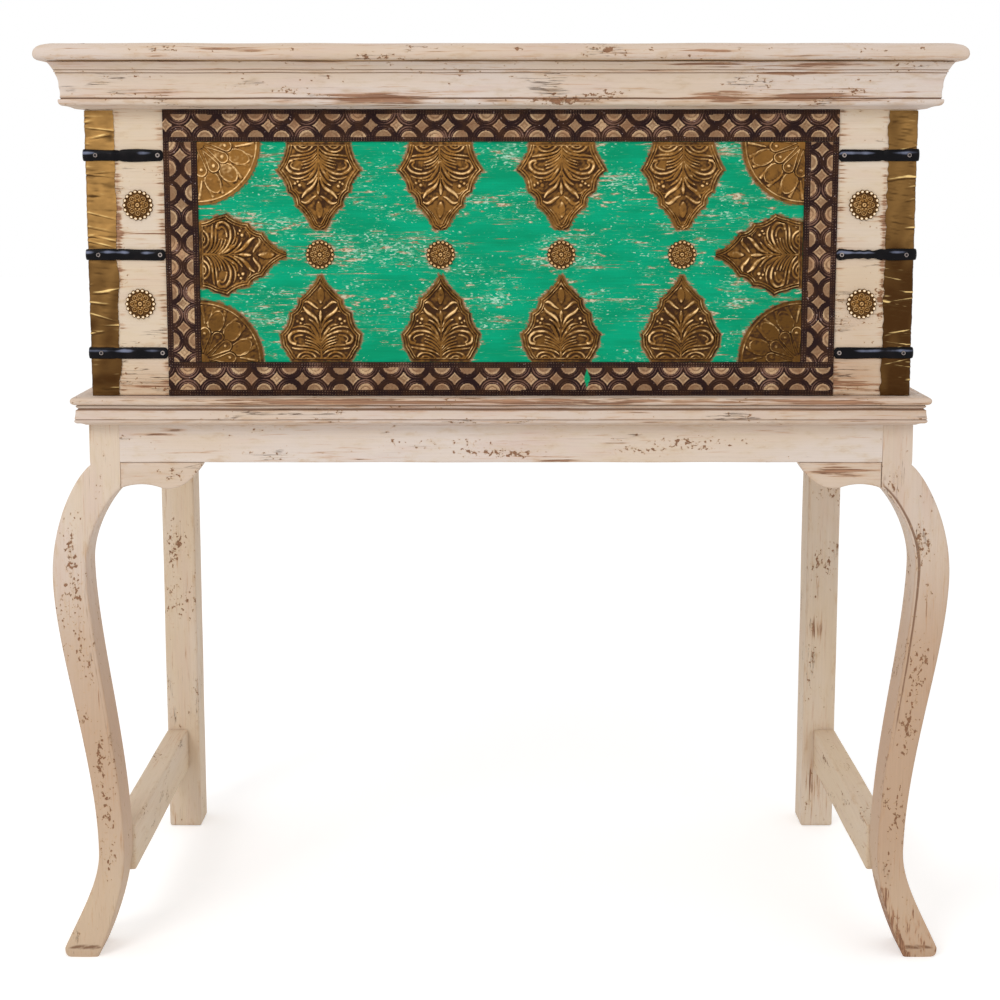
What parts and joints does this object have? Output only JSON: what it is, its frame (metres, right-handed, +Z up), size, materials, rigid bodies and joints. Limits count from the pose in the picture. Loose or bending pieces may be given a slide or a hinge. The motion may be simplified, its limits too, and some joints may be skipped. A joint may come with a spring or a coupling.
{
  "type": "wooden trunk on stand",
  "caption": "Painted wooden trunk with a hinged flat lid, moulded cornice, iron straps and embossed metal mounts, carried on a stand with curved front legs.",
  "frame": {"origin": "on the floor, at the middle of the footprint", "axes": "+X to the trunk's right as seen from the front, +Y to the back, +Z up; the front with its green field faces -Y"},
  "size_m": [0.934, 0.4982, 0.957],
  "materials": {
    "cream_paint": "old cream paint, chalky, rubbed through to brown wood on edges and in spots",
    "front_paint": "green paint on the middle field with tan scratches, cream paint on the end panels",
    "bare_wood": "unpainted aged board, matte",
    "embossed_trim": "dark bronze sheet embossed with interlaced half rings over a tan ground",
    "gilded_brass": "embossed gold-brown sheet, dark in the hollows, bright on the ridges",
    "clad_brass": "thin aged brass sheet with creases, satin",
    "black_iron": "forged iron, blue-black, satin"
  },
  "bodies": {
    "trunk": {"front_leg_left": "cream_paint", "front_leg_right": "cream_paint", "back_leg_left": "cream_paint", "back_leg_right": "cream_paint", "apron_front": "cream_paint", "apron_back": "cream_paint", "apron_left": "cream_paint", "apron_right": "cream_paint", "knee_bracket_left": "cream_paint", "knee_bracket_right": "cream_paint", "side_stretcher_left": "cream_paint", "side_stretcher_right": "cream_paint", "stand_top": "cream_paint", "trunk_floor": "bare_wood", "front_board": "front_paint", "back_board": "bare_wood", "side_board_left": "cream_paint", "side_board_right": "cream_paint", "cornice": "cream_paint", "hinge_left_box_leaf": "black_iron", "hinge_left_pin": "black_iron", "hinge_right_box_leaf": "black_iron", "hinge_right_pin": "black_iron", "trim_top": "embossed_trim", "trim_bottom": "embossed_trim", "trim_left": "embossed_trim", "trim_right": "embossed_trim", "leaf_top_1": "gilded_brass", "leaf_top_2": "gilded_brass", "leaf_top_3": "gilded_brass", "leaf_top_4": "gilded_brass", "leaf_bottom_1": "gilded_brass", "leaf_bottom_2": "gilded_brass", "leaf_bottom_3": "gilded_brass", "leaf_bottom_4": "gilded_brass", "leaf_side_left": "gilded_brass", "leaf_side_right": "gilded_brass", "corner_leaf_lower_left": "gilded_brass", "corner_leaf_lower_right": "gilded_brass", "corner_leaf_upper_left": "gilded_brass", "corner_leaf_upper_right": "gilded_brass", "rosette_field_1": "gilded_brass", "rosette_field_2": "gilded_brass", "rosette_field_3": "gilded_brass", "rosette_field_4": "gilded_brass", "rosette_left_upper": "gilded_brass", "rosette_left_lower": "gilded_brass", "rosette_right_upper": "gilded_brass", "rosette_right_lower": "gilded_brass", "strap_left_upper": "black_iron", "strap_left_middle": "black_iron", "strap_left_lower": "black_iron", "strap_right_upper": "black_iron", "strap_right_middle": "black_iron", "strap_right_lower": "black_iron", "corner_cladding_left": "clad_brass", "corner_cladding_right": "clad_brass"},
    "lid": {"lid_board": "cream_paint", "hinge_left_lid_leaf": "black_iron", "hinge_right_lid_leaf": "black_iron"}
  },
  "joints": [
    {"name": "lid_hinge", "type": "hinge", "parent": "trunk", "child": "lid", "pos_m": [0, 0.24465, 0.9397], "axis": [-1, 0, 0], "range_deg": [0, 100]}
  ]
}
